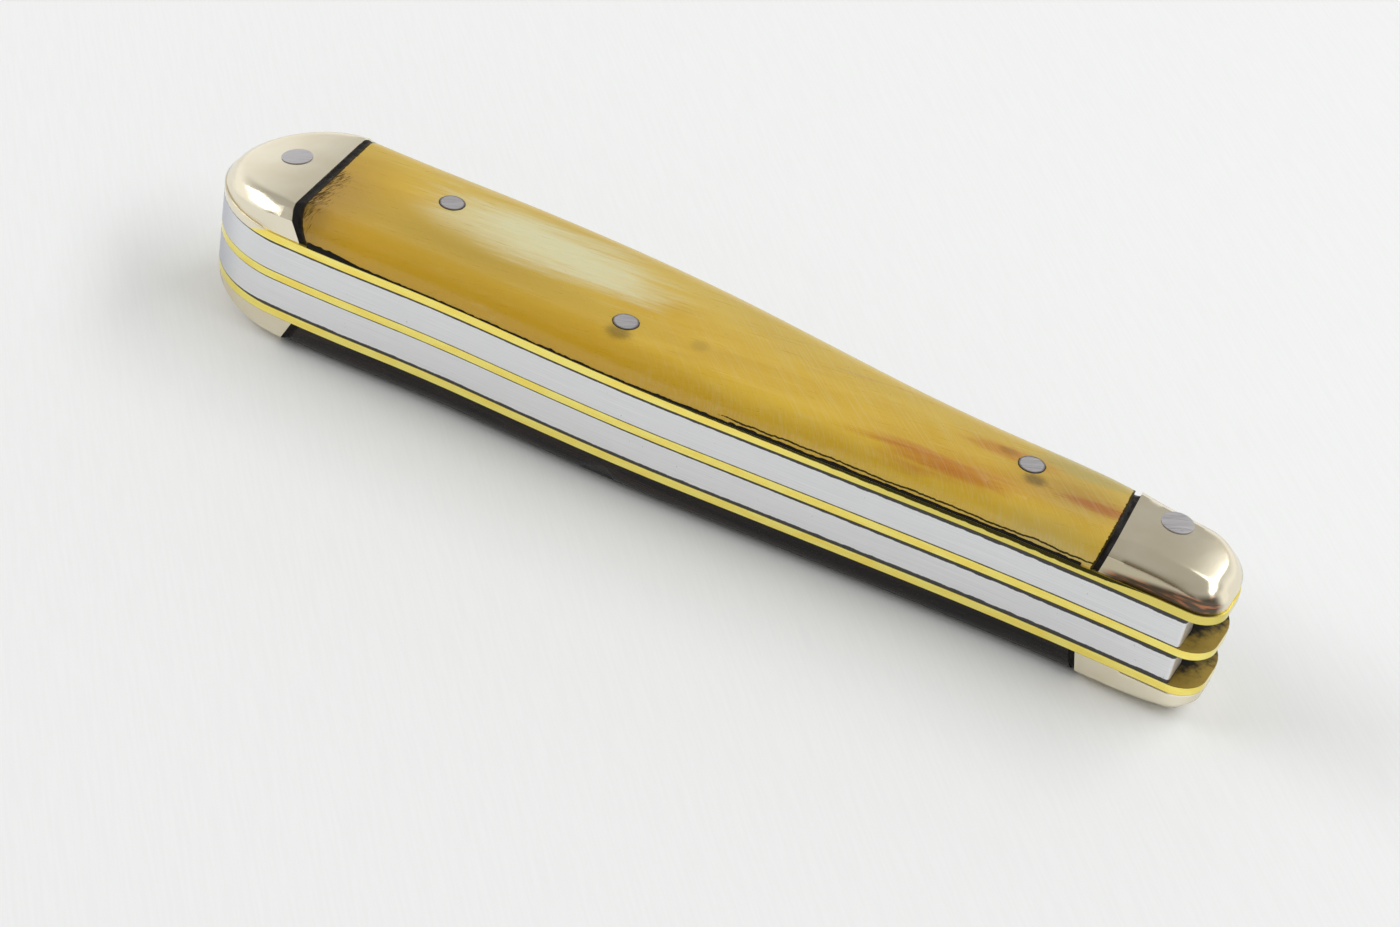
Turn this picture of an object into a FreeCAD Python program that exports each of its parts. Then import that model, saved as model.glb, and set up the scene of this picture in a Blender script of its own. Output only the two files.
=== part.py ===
import FreeCAD, Part
import os
from math import cos, radians, sin, sqrt, tan
from FreeCAD import Vector

# Two-blade slip-joint pocket knife, folded, lying on its rear scale. Millimetres.
# X runs along the handle from the butt (-X) to the joint end (+X), the springs lie along
# the back (-Y), the blades open through the front (+Y), and Z is up.

# Handle outline
closed_length = 104.8
butt_back_width = 9.05
butt_front_width = 8.2
joint_back_width = 5.7
joint_front_width = 4.05
butt_round = 10.2
back_corner_radius = 2.8
# Each row is a share of the way from butt to joint, and the shares of the taper left there at back and front.
taper_form = (
    (0.10, 0.89, 1.11), (0.22, 0.80, 1.155), (0.36, 0.83, 1.15), (0.50, 0.66, 0.905),
    (0.64, 0.39, 0.545), (0.79, 0.19, 0.35), (0.93, 0.06, 0.21),
)
arc_fit = 0.3

# Layers
liner_thickness = 0.9
spring_thickness = 3.175
cheek_thickness = 3.2
blade_side_clearance = 0.09

# Bolsters and scales
cheek_inset = 0.12
shoulder_radius = 2.4
bolster_bevel = 1.15
butt_dome_length = 13.0
butt_dome_radius = 42.0
joint_dome_length = 8.0
joint_dome_radius = 30.0
butt_bolster_length = 10.2
joint_bolster_length = 11.3
bolster_lean = 5.1
butt_toe_angle = 26.0
joint_toe_angle = 12.0
butt_scale_gap = 0.85
joint_scale_gap = 0.6

# Pins
pivot_pin_diameter = 3.0
butt_pin_diameter = 3.0
spring_pin_diameter = 2.4
scale_pin_diameter = 2.4
pin_proud = 0.08
pivot_clearance = 0.03
pivot_setback = 7.4
pivot_front_offset = 1.35
butt_pin_setback = 6.2
spring_pin_setback = 44.5
spring_pin_edge = 4.4
butt_scale_pin_setback = 22.1
butt_scale_pin_offset = 2.3
joint_scale_pin_setback = 21.3
joint_scale_pin_offset = 0.7

# Springs
nose_overhang = 4.7
bearing_length = 14.0
spring_bar_width = 4.1
spring_pin_wall = 1.3
spring_root_length = 9.6
spring_root_radius = 9.0
nose_corner_radius = 0.35

# Blades
tip_clearance = 6.8
tang_half_width = 3.6
cam_lift = 0.45
shoulder_clearance = 0.05
kick_length = 4.2
choil_radius = 0.9
edge_clearance = 0.5
spine_rise = 1.6
spine_flat = 2.6
grind_radius = 60.0
edge_half_thickness = 0.2
plunge_radius = 3.0
tip_half_thickness = 0.5
taper_length = 42.0
bevel_angle = 15.0
bevel_edge_half = 0.05
bevel_reach = 4.0
nick_length = 13.0
nick_width = 1.9
nick_depth = 0.5
nick_setback = 26.0
nick_spine_gap = 0.8
clip_length = 31.0
clip_tip_drop = 7.4
clip_sag = 1.5
clip_belly_length = 15.0
spey_drop_length = 11.5
spey_tip_drop = 3.2
spey_belly_length = 10.5

# Levels of the stack, from the table up
rear_liner_z = cheek_thickness
spey_slot_z = rear_liner_z + liner_thickness
centre_liner_z = spey_slot_z + spring_thickness
clip_slot_z = centre_liner_z + liner_thickness
front_liner_z = clip_slot_z + spring_thickness
front_cheek_z = front_liner_z + liner_thickness
total_thickness = front_cheek_z + cheek_thickness
blade_thickness = spring_thickness - 2 * blade_side_clearance

# Places along the handle
butt_x = -closed_length / 2
joint_x = closed_length / 2
butt_half_width = (butt_front_width + butt_back_width) / 2
butt_middle_y = (butt_front_width - butt_back_width) / 2
joint_half_width = (joint_front_width + joint_back_width) / 2
joint_middle_y = (joint_front_width - joint_back_width) / 2
butt_centre_x = butt_x + butt_round
corner_x = joint_x - joint_half_width
pivot = Vector(joint_x - pivot_setback, pivot_front_offset, 0)
bearing_y = pivot.y - tang_half_width
nose_x = pivot.x + nose_overhang
toe_room = cheek_thickness + 2 * sin(radians(bolster_lean)) * butt_half_width
far = 2 * closed_length
well_depth = butt_back_width + butt_front_width

# Limits of the construction
shoulder_share = 0.75
bevel_share = 0.9
ease_share = 0.37
steep_rise = 0.5
level_rise = 0.9
dome_turn = 40.0
overrun = 1.0
same_place = 1e-6


def point(x, y, z=0.0):
    return Vector(x, y, z)


def line(start, end):
    return Part.LineSegment(start, end).toShape()


def arc(start, middle, end):
    return Part.Arc(start, middle, end).toShape()


def corner_arc(centre, radius, start_angle):
    """Quarter turn, anticlockwise."""
    places = []
    for turn in (0, 45, 90):
        angle = radians(start_angle + turn)
        places.append(centre + Vector(radius * cos(angle), radius * sin(angle), 0))
    return arc(*places)


def spline(points, start_direction, end_direction):
    smooth = Part.BSplineCurve()
    smooth.interpolate(Points=points, InitialTangent=start_direction, FinalTangent=end_direction)
    return smooth


def curve(points, start_direction, end_direction):
    return spline(points, start_direction, end_direction).toShape()


def arcs_along(points, start_direction, end_direction):
    """Tangent arcs that follow a smooth curve through the points."""
    smooth = spline(points, start_direction, end_direction)
    return [piece.toShape() for piece in smooth.toBiArcs(arc_fit)]


def prism(edges, bottom, height):
    face = Part.Face(Part.Wire(Part.__sortEdges__(edges)))
    face.translate(Vector(0, 0, bottom))
    return face.extrude(Vector(0, 0, height))


def rod(place, radius, bottom, height):
    return Part.makeCylinder(radius, height, point(place.x, place.y, bottom))


def long_edges(inset):
    """Back and front of the handle from the butt's middle to the joint's corner, drawn in by the inset."""
    back = []
    front = []
    for share, back_taper, front_taper in ((0.0, 1.0, 1.0),) + taper_form + ((1.0, 0.0, 0.0),):
        x = butt_centre_x + share * (corner_x - butt_centre_x)
        back_width = joint_back_width + back_taper * (butt_back_width - joint_back_width)
        front_width = joint_front_width + front_taper * (butt_front_width - joint_front_width)
        back.append(point(x, inset - back_width))
        front.append(point(x, front_width - inset))
    along = Vector(1, 0, 0)
    return arcs_along(back, along, along), arcs_along(front, along, along)


def joint_edges(inset):
    """Joint end of the handle: back, back corner, end and front corner."""
    half_width = joint_half_width - inset
    radius = back_corner_radius - inset
    end_x = joint_x - inset
    low_y = joint_middle_y - half_width
    corner = point(end_x - radius, low_y + radius)
    return [
        line(point(corner_x, low_y), point(corner.x, low_y)),
        corner_arc(corner, radius, -90),
        line(point(end_x, corner.y), point(end_x, joint_middle_y)),
        corner_arc(point(corner_x, joint_middle_y), half_width, 0),
    ]


def butt_edge(inset):
    """Round butt of the handle: half a circle, stretched to its length."""
    half_width = butt_half_width - inset
    front = point(butt_centre_x, butt_middle_y + half_width)
    end = point(butt_centre_x - half_width, butt_middle_y)
    back = point(butt_centre_x, butt_middle_y - half_width)
    stretch = FreeCAD.Matrix()
    stretch.A11 = (butt_round - inset) / half_width
    stretch.A14 = (1 - stretch.A11) * butt_centre_x
    return arc(front, end, back).transformGeometry(stretch)


def handle_edges(inset):
    """Outline of the handle, drawn in by the inset: back, joint end, front, butt."""
    back, front = long_edges(inset)
    return back + joint_edges(inset) + front + [butt_edge(inset)]


def back_y(x):
    """Y of the handle's back edge at a place along it."""
    back = Part.Wire(long_edges(0.0)[0])
    ray = line(point(x, 0), point(x, -well_depth))
    return back.distToShape(ray)[1][0][0].y


spring_pin = point(butt_x + spring_pin_setback, 0)
spring_pin.y = back_y(spring_pin.x) + spring_pin_edge
butt_pin = point(butt_x + butt_pin_setback, 0)
butt_scale_pin = point(butt_x + butt_scale_pin_setback, butt_scale_pin_offset)
joint_scale_pin = point(joint_x - joint_scale_pin_setback, joint_scale_pin_offset)
hump_y = spring_pin.y + spring_pin_diameter / 2 + spring_pin_wall


def domed_bar():
    """Bar whose flat top bends down at both ends: it shapes the bolsters and the ends of the pins."""
    butt_start = butt_x + butt_dome_length
    joint_start = joint_x - joint_dome_length
    across = Vector(0, 1, 0)
    corners = [(-well_depth, -total_thickness), (well_depth, -total_thickness),
               (well_depth, cheek_thickness), (-well_depth, cheek_thickness)]
    corners = [point(0, y, z) for y, z in corners]
    section = Part.Face(Part.makePolygon(corners + corners[:1]))
    butt_section = section.translated(point(butt_start, 0))
    joint_section = section.translated(point(joint_start, 0))
    bar = butt_section.extrude(Vector(joint_start - butt_start, 0, 0))
    butt_axis = point(butt_start, 0, cheek_thickness - butt_dome_radius)
    joint_axis = point(joint_start, 0, cheek_thickness - joint_dome_radius)
    butt_end = butt_section.revolve(butt_axis, across, -dome_turn)
    joint_end = joint_section.revolve(joint_axis, across, dome_turn)
    return bar.multiFuse([butt_end, joint_end]).removeSplitter()


def rise_of(face):
    """How far a face looks up, from 0 for a wall to 1 for a level top."""
    u_low, u_high, v_low, v_high = face.ParameterRange
    return abs(face.normalAt((u_low + u_high) / 2, (v_low + v_high) / 2).z)


def rim_edges(body, top_rise):
    """Long edges above the base where a top, which rises more than top_rise, meets a steeper face."""
    rim = []
    for edge in body.Edges:
        rises = [rise_of(face) for face in body.ancestorsOfType(edge, Part.Face)]
        runs_along = edge.BoundBox.XLength > same_place
        if runs_along and edge.BoundBox.ZMax > same_place and min(rises) < top_rise < max(rises):
            rim.append(edge)
    return rim


def scale_side():
    """One whole side with a flat top and round shoulders, on Z = 0: the scale is cut from it."""
    body = prism(handle_edges(cheek_inset), 0, cheek_thickness)
    radius = min(shoulder_radius, shoulder_share * cheek_thickness)
    return body.makeFillet(radius, rim_edges(body, steep_rise))


def bolster_end(low_x, high_x):
    """One end of a side, between two places: its top falls to the end, with eased bevels, on Z = 0."""
    block = Part.makeBox(high_x - low_x, 2 * well_depth, 2 * cheek_thickness, point(low_x, -well_depth))
    body = prism(handle_edges(cheek_inset), 0, 2 * cheek_thickness).common(block)
    body = body.common(domed_bar()).Solids[0]
    rim = rim_edges(body, steep_rise)
    end_wall = min(edge.BoundBox.ZMin for edge in rim)
    bevel = min(bolster_bevel, bevel_share * end_wall)
    body = body.makeChamfer(bevel, rim)
    return body.makeChamfer(ease_share * bevel, rim_edges(body, level_rise))


def beyond_joint(x, toe_angle, keep):
    """Everything on one side of a bolster joint, which leans, slopes to a toe and meets the crest at x."""
    box = Part.makeBox(far, far, far, point(0 if keep > 0 else -far, -far / 2, -far / 2))
    box.rotate(Vector(0, 0, 0), Vector(0, 1, 0), toe_angle)
    box.rotate(Vector(0, 0, 0), Vector(0, 0, 1), bolster_lean)
    box.translate(point(x, 0, cheek_thickness))
    return box


def bored(shape, holes):
    for place, diameter in holes:
        shape = shape.cut(rod(place, diameter / 2, -far / 2, far))
    return shape


def place_front(shape):
    shape = shape.copy()
    shape.translate(Vector(0, 0, front_cheek_z))
    return shape


def place_rear(shape):
    shape = shape.mirror(Vector(0, 0, 0), Vector(0, 0, 1))
    shape.translate(Vector(0, 0, rear_liner_z))
    return shape


def cheeks():
    butt_joint = butt_x + butt_bolster_length
    joint_joint = joint_x - joint_bolster_length
    butt_bolster = bolster_end(butt_x, max(butt_joint, butt_x + butt_dome_length) + toe_room)
    butt_bolster = butt_bolster.common(beyond_joint(butt_joint, -butt_toe_angle, -1))
    butt_bolster = bored(butt_bolster, [(butt_pin, butt_pin_diameter)])
    joint_bolster = bolster_end(min(joint_joint, joint_x - joint_dome_length) - toe_room, joint_x)
    joint_bolster = joint_bolster.common(beyond_joint(joint_joint, joint_toe_angle, 1))
    joint_bolster = bored(joint_bolster, [(pivot, pivot_pin_diameter)])
    scale = scale_side().common(beyond_joint(butt_joint + butt_scale_gap, -butt_toe_angle, 1))
    scale = scale.common(beyond_joint(joint_joint - joint_scale_gap, joint_toe_angle, -1))
    scale_holes = [
        (spring_pin, spring_pin_diameter),
        (butt_scale_pin, scale_pin_diameter),
        (joint_scale_pin, scale_pin_diameter),
    ]
    scale = bored(scale, scale_holes)
    pieces = {"butt_bolster": butt_bolster, "joint_bolster": joint_bolster, "scale": scale}
    placed = {}
    for name, shape in pieces.items():
        placed["front_" + name] = place_front(shape)
        placed["rear_" + name] = place_rear(shape)
    return placed


def liner(bottom, scale_pins):
    holes = [
        (pivot, pivot_pin_diameter),
        (butt_pin, butt_pin_diameter),
        (spring_pin, spring_pin_diameter),
    ]
    if scale_pins:
        holes += [(butt_scale_pin, scale_pin_diameter), (joint_scale_pin, scale_pin_diameter)]
    return bored(prism(handle_edges(0.0), bottom, liner_thickness), holes)


def liners():
    return {
        "rear_liner": liner(rear_liner_z, True),
        "centre_liner": liner(centre_liner_z, False),
        "front_liner": liner(front_liner_z, True),
    }


def well_edges():
    """Room for a folded blade: all that the spring leaves free inside the handle."""
    bearing_end_x = pivot.x - bearing_length
    bar_x = (bearing_end_x + spring_pin.x) / 2
    root_x = butt_x + butt_round + spring_root_length / 2
    root_bar_x = (root_x + spring_pin.x) / 2
    root_y = back_y(root_x) + spring_bar_width + spring_pin_wall
    front_x = butt_x + spring_root_length
    inner = [
        point(bearing_end_x, bearing_y),
        point(bar_x, back_y(bar_x) + spring_bar_width),
        point(spring_pin.x, hump_y),
        point(root_bar_x, back_y(root_bar_x) + spring_bar_width + spring_pin_wall / 2),
        point(root_x, root_y),
    ]
    along = Vector(-1, 0, 0)
    root_top = point(front_x, well_depth)
    root_start = point(front_x, root_y + spring_root_radius)
    root_middle = point(
        root_x + (front_x - root_x) * cos(radians(45)),
        root_y + spring_root_radius * (1 - cos(radians(45))),
    )
    edges = [
        line(point(nose_x, -well_depth), point(nose_x, bearing_y)),
        line(point(nose_x, bearing_y), inner[0]),
        line(root_start, root_top),
        line(root_top, point(closed_length, well_depth)),
        line(point(closed_length, well_depth), point(closed_length, -well_depth)),
        line(point(closed_length, -well_depth), point(nose_x, -well_depth)),
    ]
    edges += arcs_along(inner, along, along)
    return edges + arcs_along([inner[-1], root_middle, root_start], along, Vector(0, 1, 0))


def spring(bottom):
    body = prism(handle_edges(0.0), bottom, spring_thickness)
    body = body.cut(prism(well_edges(), bottom - spring_thickness, 3 * spring_thickness))
    nose_corners = [edge for edge in body.Edges
                    if edge.BoundBox.ZLength > spring_thickness / 2
                    and abs(edge.CenterOfMass.x - nose_x) < same_place]
    body = body.makeFillet(nose_corner_radius, nose_corners)
    return bored(body, [(butt_pin, butt_pin_diameter), (spring_pin, spring_pin_diameter)])


def springs():
    return {"spey_spring": spring(spey_slot_z), "clip_spring": spring(clip_slot_z)}


# A blade is drawn folded, about the pivot: tip towards -X, spine towards +Y, Z = 0 at mid thickness.
shoulder_x = -(nose_overhang + shoulder_clearance)
spine_y = pivot.y - back_y(nose_x)
edge_y = hump_y + edge_clearance - pivot.y
cam_radius = tang_half_width + cam_lift
cam_x = sqrt(cam_radius ** 2 - tang_half_width ** 2)
kick_x = shoulder_x - kick_length
heel_x = kick_x - 2 * choil_radius
tip_x = butt_x + spring_root_length + tip_clearance - pivot.x
belly_end_direction = Vector(-0.6, 1, 0)


def spine_at(x):
    return spine_y + (shoulder_x - x) * tan(radians(spine_rise))


def three_point_arc(start, end, sag, side):
    """Arc from start to end that bows by the sag, to the left of its way when side is 1."""
    way = (end - start).normalize()
    left = Vector(-way.y, way.x, 0)
    return arc(start, (start + end) * 0.5 + left * (sag * side), end)


def clip_point():
    tip = point(tip_x, spine_at(tip_x) - clip_tip_drop)
    start = point(tip_x + clip_length, spine_at(tip_x + clip_length))
    back_edges = [three_point_arc(start, tip, clip_sag, 1)]
    return start, back_edges, tip, clip_belly_length


def spey_point():
    tip = point(tip_x, spine_at(tip_x) - spey_tip_drop)
    start = point(tip_x + spey_drop_length, spine_at(tip_x + spey_drop_length))
    back_edges = [curve([start, tip], Vector(-1, tan(radians(spine_rise)), 0), Vector(-1, -1, 0))]
    return start, back_edges, tip, spey_belly_length


def tang_edges(heel):
    """From the heel of the edge round the choil, kick, cam and flats to the shoulder's top."""
    choil_middle = point(kick_x - choil_radius, edge_y + choil_radius)
    kick_top = point(kick_x, edge_y)
    kick_foot = point(kick_x, -tang_half_width)
    cam_start = point(cam_x, -tang_half_width)
    cam_end = point(cam_x, tang_half_width)
    shoulder_foot = point(shoulder_x, tang_half_width)
    return [
        arc(heel, choil_middle, kick_top),
        line(kick_top, kick_foot),
        line(kick_foot, cam_start),
        arc(cam_start, point(cam_radius, 0), cam_end),
        line(cam_end, shoulder_foot),
        line(shoulder_foot, point(shoulder_x, spine_y)),
    ]


def grind(blade, side):
    """Hollow grind left by a wheel that runs along the blade and stops at the plunge."""
    grind_line_y = spine_y - spine_flat
    top = point(0, grind_line_y, blade_thickness / 2)
    low = point(0, edge_y, edge_half_thickness)
    chord = top - low
    outward = Vector(0, -chord.z, chord.y).normalize()
    centre = (top + low) * 0.5 + outward * sqrt(grind_radius ** 2 - (chord.Length / 2) ** 2)
    wheel_start = heel_x - plunge_radius
    wheel = Part.makeCylinder(grind_radius, far, point(wheel_start, centre.y, centre.z), Vector(-1, 0, 0))
    rim = [edge for edge in wheel.Edges if edge.BoundBox.XMin > wheel_start - overrun]
    wheel = wheel.makeFillet(plunge_radius, rim)
    if side < 0:
        wheel = wheel.mirror(Vector(0, 0, 0), Vector(0, 0, 1))
    return blade.cut(wheel)


def distal_taper(blade, side):
    """Thins the blade towards its tip."""
    start = point(tip_x + taper_length, 0, blade_thickness / 2)
    end = point(tip_x, 0, tip_half_thickness)
    slope = (end.z - start.z) / (end.x - start.x)
    beyond = point(tip_x - overrun, 0, end.z - slope * overrun)
    corners = [start, beyond, point(beyond.x, 0, blade_thickness), point(start.x, 0, blade_thickness)]
    wedge = Part.Face(Part.makePolygon(corners + [start])).extrude(Vector(0, far, 0))
    wedge.translate(Vector(0, -far / 2, 0))
    if side < 0:
        wedge = wedge.mirror(Vector(0, 0, 0), Vector(0, 0, 1))
    return blade.cut(wedge)


def nail_nick(blade, side):
    """Crescent cut beside the spine on the outer face, deepest along its lower edge."""
    radius = (nick_length ** 2 / 4 + nick_depth ** 2) / (2 * nick_depth)
    x = shoulder_x - nick_setback
    low_y = spine_at(x) - nick_spine_gap - nick_width
    z = blade_thickness / 2 + radius - nick_depth
    cutter = Part.makeCone(radius, radius - nick_depth, nick_width, point(x, low_y, z), Vector(0, 1, 0))
    if side < 0:
        cutter = cutter.mirror(Vector(0, 0, 0), Vector(0, 0, 1))
    return blade.cut(cutter)


def sharpened(blade, edge_path):
    """Edge bevels on both sides, run along the cutting edge from heel to tip."""
    over = choil_radius / 2
    rise = tan(radians(bevel_angle))
    x = heel_x
    section = [
        point(x, edge_y - over, bevel_edge_half - over * rise),
        point(x, edge_y + bevel_reach, bevel_edge_half + bevel_reach * rise),
        point(x, edge_y + bevel_reach, blade_thickness),
        point(x, edge_y - over, blade_thickness),
    ]
    profile = Part.makePolygon(section + [section[0]])
    bevel = Part.Wire(edge_path).makePipeShell([profile], True, False)
    blade = blade.cut(bevel)
    return blade.cut(bevel.mirror(Vector(0, 0, 0), Vector(0, 0, 1)))


def blade(tip_form, slot_z, outer_side):
    spine_end, back_edges, tip, belly_length = tip_form()
    heel = point(heel_x, edge_y)
    belly_start = point(tip_x + belly_length, edge_y)
    straight_edge = line(heel, belly_start)
    belly = curve([belly_start, tip], Vector(-1, 0, 0), belly_end_direction)
    edges = [line(point(shoulder_x, spine_y), spine_end)] + back_edges + [belly, straight_edge]
    shape = prism(edges + tang_edges(heel), -blade_thickness / 2, blade_thickness)
    for side in (1, -1):
        shape = grind(shape, side)
        shape = distal_taper(shape, side)
    shape = sharpened(shape, [straight_edge, belly])
    shape = nail_nick(shape, outer_side)
    shape = shape.cut(rod(Vector(0, 0, 0), pivot_pin_diameter / 2 + pivot_clearance, -far / 2, far))
    shape.translate(point(pivot.x, pivot.y, slot_z + spring_thickness / 2))
    return shape


def blades():
    return {
        "spey_blade": blade(spey_point, spey_slot_z, -1),
        "clip_blade": blade(clip_point, clip_slot_z, 1),
    }


def pins():
    """Pins with their ends ground like the sides: a hair proud of the front, flush with the rear."""
    front_side = place_front(domed_bar())
    front_side.translate(Vector(0, 0, pin_proud))
    rear_side = place_rear(domed_bar())
    through = {
        "pivot_pin": (pivot, pivot_pin_diameter),
        "butt_pin": (butt_pin, butt_pin_diameter),
        "spring_pin": (spring_pin, spring_pin_diameter),
    }
    made = {}
    middle_z = total_thickness / 2
    for name, (place, diameter) in through.items():
        upper = rod(place, diameter / 2, middle_z, total_thickness).common(front_side)
        lower = rod(place, diameter / 2, middle_z - total_thickness, total_thickness).common(rear_side)
        made[name] = upper.fuse(lower).removeSplitter()
    short = {"butt_scale_pin": butt_scale_pin, "joint_scale_pin": joint_scale_pin}
    for name, place in short.items():
        radius = scale_pin_diameter / 2
        front = rod(place, radius, front_liner_z, total_thickness)
        rear = rod(place, radius, spey_slot_z - total_thickness, total_thickness)
        made["front_" + name] = front.common(front_side)
        made["rear_" + name] = rear.common(rear_side)
    return made


def export(pieces):
    os.makedirs("parts", exist_ok=True)
    for name, shape in pieces.items():
        shape.exportStep("parts/" + name + ".step")
        print(name, len(shape.Solids), round(shape.Volume, 1), shape.isValid())


pieces = {}
for group in (cheeks, liners, springs, blades, pins):
    pieces.update(group())
export(pieces)
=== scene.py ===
import math

import bmesh
import bpy
from mathutils import Matrix, Vector, noise


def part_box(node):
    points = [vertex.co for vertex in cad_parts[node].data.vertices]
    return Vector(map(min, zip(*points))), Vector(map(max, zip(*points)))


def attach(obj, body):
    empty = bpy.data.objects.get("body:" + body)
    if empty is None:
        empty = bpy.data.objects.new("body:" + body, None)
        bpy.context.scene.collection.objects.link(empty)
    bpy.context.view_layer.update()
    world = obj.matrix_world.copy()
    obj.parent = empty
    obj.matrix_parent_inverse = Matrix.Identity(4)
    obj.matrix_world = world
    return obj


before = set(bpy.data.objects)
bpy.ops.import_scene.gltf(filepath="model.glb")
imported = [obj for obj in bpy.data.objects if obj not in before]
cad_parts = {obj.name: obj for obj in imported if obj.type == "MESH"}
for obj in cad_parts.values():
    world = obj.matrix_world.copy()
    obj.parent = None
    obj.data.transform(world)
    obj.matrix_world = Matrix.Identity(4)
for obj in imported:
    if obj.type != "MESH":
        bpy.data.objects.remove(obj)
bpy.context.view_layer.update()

# Units: lengths are millimetres in the knife's frame unless metres are named, angles are degrees
MM = 0.001

# Body of the pieces of resin
HANDLE = "handle"

# Size of a pattern along an axis on which it does not change
FLAT = 1000.0

# A place in X past the joint end of the knife, and a place in Y behind its back
BEYOND_END = 60.0
BEHIND_BACK = -30.0

# Usual range of a noise
NOISE_LOW = 0.3
NOISE_HIGH = 0.7

# Camera
CAMERA_PLACE = Vector((90.07, -232.02, 184.86))
CAMERA_RIGHT = Vector((0.87378, 0.46095, 0.15506))
CAMERA_UP = Vector((-0.39043, 0.47478, 0.78876))
FOCAL_LENGTH = 84.66
SENSOR_WIDTH = 36.0

# Nearest and farthest distance that the camera shows, in metres
CLIP_START = 0.01
CLIP_END = 20.0

# Half the width of the floor, and the distance of the lamps from the knife, in metres
FLOOR_HALF_WIDTH = 2.0
LAMP_DISTANCE = 0.8

# Colours of the horn, and of painted light and shade on it, linear
AMBER = (0.65, 0.430, 0.036, 1)
DEEP_AMBER = (0.57, 0.350, 0.015, 1)
SHADED_GOLD = (0.57, 0.325, 0.008, 1)
TEA_SHADE = (0.46, 0.30, 0.024, 1)
STRAW = (0.55, 0.42, 0.12, 1)
CREAM = (0.67, 0.63, 0.38, 1)
RUSSET = (0.46, 0.17, 0.010, 1)
RED_BROWN = (0.36, 0.085, 0.010, 1)
OLIVE = (0.42, 0.34, 0.11, 1)
UMBER = (0.38, 0.22, 0.035, 1)
BLACK_HORN = (0.005, 0.004, 0.004, 1)
BLACK_HORN_STREAK = (0.020, 0.013, 0.010, 1)

# Colours of the metals, and of painted reflections, glints and shade on them, linear
NICKEL = (0.84, 0.78, 0.63, 1)
NICKEL_WARM = (0.80, 0.72, 0.56, 1)
NICKEL_DIM_REFLECTION = (0.50, 0.44, 0.31, 1)
DARK_REFLECTION = (0.035, 0.016, 0.008, 1)
REFLECTED_GLINT = (0.42, 0.13, 0.04, 1)
BRASS = (1.0, 0.87, 0.24, 1)
BRASS_WORN = (1.0, 0.79, 0.16, 1)
BRASS_AGED = (0.78, 0.66, 0.16, 1)
BRASS_DULL = (0.42, 0.29, 0.05, 1)
BRASS_PATINA = (0.012, 0.010, 0.006, 1)
SPRING_DARK = (0.75, 0.755, 0.775, 1)
SPRING_LIGHT = (0.825, 0.83, 0.85, 1)
SPRING_PIT = (0.12, 0.12, 0.13, 1)
SPRING_BUTT = (0.50, 0.51, 0.57, 1)
BLADE_DARK = (0.58, 0.58, 0.59, 1)
BLADE_LIGHT = (0.66, 0.66, 0.66, 1)
PIN_DARK = (0.50, 0.485, 0.52, 1)
PIN_LIGHT = (0.61, 0.59, 0.62, 1)
PIN_SIDE_SHADE = (0.16, 0.15, 0.15, 1)

# Colours of soot and of painted shade, resin, floor and light tent, linear
SOOT_AND_SHADE_BLACK = (0.004, 0.003, 0.002, 1)
RESIN_BROWN = (0.03, 0.018, 0.010, 1)
FLOOR_DARK = (0.855, 0.872, 0.890, 1)
FLOOR_LIGHT = (0.872, 0.889, 0.907, 1)
TENT_LOW = (1.05, 1.05, 1.03, 1)
TENT_HIGH = (0.46, 0.45, 0.42, 1)
TENT_DIM = (0.20, 0.17, 0.13, 1)

# Light tent: sines of the heights between which it darkens, and the dim patch's direction and border
TENT_RISE = (0.20, 0.62)
DIM_DIRECTION = Vector((-0.29, -0.88, 0.25)).normalized()
DIM_BORDER = (0.84, 0.96)

# Joints between the bolsters and the scales: their lean, and the top edge and toe angle of each
JOINT_LEAN = 5.1
BUTT_EDGE_X = -41.35
BUTT_TOE = 26.0
PIVOT_EDGE_X = 40.5
PIVOT_TOE = 12.0

# Pins that end in the bolsters, and pins that end in the front scale
BOLSTER_PINS = ("butt_pin", "pivot_pin")
FRONT_SCALE_PINS = ("front_butt_scale_pin", "front_joint_scale_pin", "spring_pin")

# Places where a finish or a painted shade starts to change and where the change is done, in X or in radius
# from the pivot
LINER_NICKEL_X = (-43.2, -43.9)
LINER_AGED_X = (6, 26)
SPRING_GREY_X = (-46, -51.5)
SCRATCHES_X = (-14, 6)
SEAM_WIDENING_X = (-20, 46)
SEAM_THINNING_X = (-50, -41)
WELL_POLISH_RADII = (4.8, 8.4)

# Slant of the front liner's nickel end, in X per height, and the length over which a seam ends
LINER_NICKEL_SLANT = -2.4
SEAM_END_LENGTH = 6.0

# Painted dim reflection on the front joint bolster: borders at its end, at its back and at its top above the
# foot
DIM_REFLECTION_END_X = (50, 47)
DIM_REFLECTION_BACK_Y = (-4.0, -5.0)
DIM_REFLECTION_TOP = (2.6, 1.8)

# Painted dark brown reflection with orange glints along the foot of that bolster: height, slope, and borders
# at its top and at its back
REFLECTION_BAND_HEIGHT = 0.45
REFLECTION_BAND_SLOPE = 0.13
REFLECTION_BAND_TOP = (0.35, -0.25)
REFLECTION_BAND_BACK_Y = (-3.8, -4.8)

# Rounded bevels of the bolsters
BEVEL_RADIUS = 0.9
BEVEL_SAMPLES = 16

# Distances from the joints and from the pins' rims between which the rounding fades out
BUTT_FADE = (2.6, 0.9)
PIVOT_FADE = (1.9, 1.1)
PIN_FADE = (1.1, 0.7)

# Widths of the dark ring in the horn round a pin, and of the sooty rim of the pin
RING_WIDTH = 0.17
PIN_RIM_WIDTH = 0.25

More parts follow.
